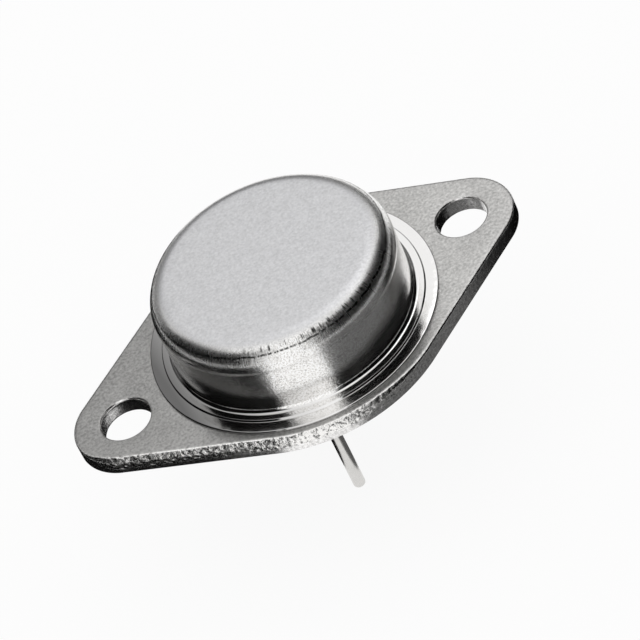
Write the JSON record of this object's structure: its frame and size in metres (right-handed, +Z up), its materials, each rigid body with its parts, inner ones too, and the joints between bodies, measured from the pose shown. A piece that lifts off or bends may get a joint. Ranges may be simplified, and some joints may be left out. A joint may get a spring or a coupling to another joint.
{
  "type": "voltage regulator",
  "caption": "Linear voltage regulator in a steel can: a round cap welded to a pointed flange with a screw hole at each end, and straight leads below for soldering.",
  "frame": {"origin": "on the cap's axis, midway between the screw holes, on the flange's underside, which seats on the heat sink", "axes": "+X along the flange towards one screw hole, +Y across it towards the output lead, +Z up through the cap"},
  "size_m": [0.0386, 0.025, 0.0204],
  "materials": {
    "plate_nickel": "satin",
    "cap_nickel": "satin",
    "lead_plating": "satin",
    "seal_glass": null,
    "copper": "satin",
    "braze": "satin",
    "solder": "matte",
    "silicon": "gloss",
    "bond_wire": "satin"
  },
  "bodies": {
    "root": {"header_plate": "plate_nickel", "cap": "cap_nickel", "input_lead": "lead_plating", "output_lead": "lead_plating", "input_glass_seal": "seal_glass", "output_glass_seal": "seal_glass", "heat_spreader": "copper", "spreader_braze": "braze", "chip_solder": "solder", "regulator_chip": "silicon", "input_bond_wire_a": "bond_wire", "input_bond_wire_b": "bond_wire", "output_bond_wire_a": "bond_wire", "output_bond_wire_b": "bond_wire", "ground_bond_wire": "bond_wire"}
  },
  "joints": []
}
